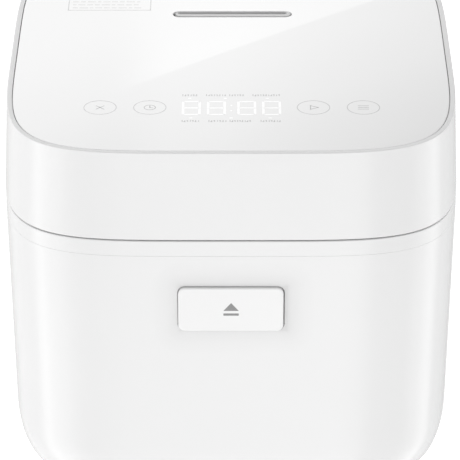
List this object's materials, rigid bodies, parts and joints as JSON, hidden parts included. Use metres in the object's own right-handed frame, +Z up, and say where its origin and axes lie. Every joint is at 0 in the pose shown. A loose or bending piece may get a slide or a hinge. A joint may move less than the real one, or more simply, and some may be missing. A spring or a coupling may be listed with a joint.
{
  "type": "rice cooker",
  "caption": "Free-standing electric rice cooker with a rounded-square white body, hinged touch-panel lid, front release button and lift-out round pot.",
  "frame": {"origin": "centre of the footprint, on the plane the feet rest on", "axes": "+Z up, -Y towards the front with the release button, +X to the right of someone facing the front"},
  "size_m": [0.236, 0.2688, 0.2037],
  "materials": {
    "white_shell": "satin moulded white ABS",
    "white_panel": "high gloss white acrylic",
    "white_trim": "satin light grey-white",
    "grey_plastic": "fine matt texture",
    "black_plastic": "matt black",
    "rubber_foot": "soft matt rubber",
    "silicone": "translucent white silicone",
    "aluminium_cast": "cast and turned",
    "aluminium_sheet": "brushed sheet",
    "steel": "plated steel",
    "brass": "plated brass",
    "pot_coat": "dark non-stick coating over aluminium",
    "circuit": "green solder mask",
    "lead_sleeve": "braided glass-fibre sleeve"
  },
  "bodies": {
    "base": {"body_shell": "white_shell", "upper_frame": "white_shell", "base_cover": "grey_plastic", "transformer": "black_plastic", "relay": "black_plastic", "power_inlet": "black_plastic", "foot_front_left": "rubber_foot", "foot_front_right": "rubber_foot", "foot_rear_left": "rubber_foot", "foot_rear_right": "rubber_foot", "heater_plate": "aluminium_cast", "heat_liner": "steel", "sensor_bracket": "steel", "thermal_fuse": "steel", "thermal_fuse_clip": "steel", "hinge_pin": "steel", "latch_pin": "steel", "sensor_spring": "steel", "button_spring_left": "steel", "button_spring_right": "steel", "base_screw_front_left": "steel", "base_screw_front_right": "steel", "base_screw_rear_left": "steel", "base_screw_rear_right": "steel", "inlet_pin_live": "brass", "inlet_pin_neutral": "brass", "inlet_pin_earth": "brass", "power_board": "circuit", "capacitor": "lead_sleeve", "inlet_lead_live": "lead_sleeve", "inlet_lead_neutral": "lead_sleeve", "heater_lead_left": "lead_sleeve", "heater_lead_right": "lead_sleeve"},
    "lid": {"lid_shell": "white_shell", "touch_panel": "white_panel", "steam_outlet": "white_trim", "steam_valve_body": "grey_plastic", "steam_valve_gasket": "silicone", "lid_liner": "grey_plastic", "inner_lid": "aluminium_sheet", "inner_lid_seal": "silicone", "inner_lid_grommet": "silicone", "lid_catch": "steel", "control_board": "circuit", "display_module": "black_plastic", "touch_spring_1": "steel", "touch_spring_2": "steel", "touch_spring_3": "steel", "touch_spring_4": "steel", "lid_screw_front_left": "steel", "lid_screw_front_right": "steel", "lid_screw_rear_left": "steel", "lid_screw_rear_right": "steel"},
    "pot": {"inner_pot": "pot_coat"},
    "button": {"release_button": "white_shell"},
    "latch": {"latch_lever": "white_trim"},
    "sensor": {"temp_sensor": "aluminium_cast"}
  },
  "joints": [
    {"name": "lid_hinge", "type": "hinge", "parent": "base", "child": "lid", "pos_m": [0, 0.12885, 0.15615], "axis": [-1, 0, 0], "range_deg": [0, 85]},
    {"name": "pot_turn", "type": "hinge", "parent": "base", "child": "pot", "pos_m": [0, -0.00315, 0.1], "axis": [0, 0, 1], "continuous": true},
    {"name": "button_press", "type": "slide", "parent": "base", "child": "button", "axis": [0, 1, 0], "range_m": [0, 0.003], "stiffness_N_per_m": 900, "springref_m": -0.002, "deforming": ["button_spring_left", "button_spring_right"]},
    {"name": "latch_rock", "type": "hinge", "parent": "base", "child": "latch", "pos_m": [0, -0.11615, 0.134], "axis": [1, 0, 0], "range_deg": [0, 8.6]},
    {"name": "sensor_travel", "type": "slide", "parent": "base", "child": "sensor", "axis": [0, 0, 1], "range_m": [-0.004, 0], "stiffness_N_per_m": 400, "springref_m": 0.004, "deforming": ["sensor_spring"]}
  ],
  "couplings": [
    {"joint": "latch_rock", "follows": "button_press", "rad_per_m": 50}
  ]
}
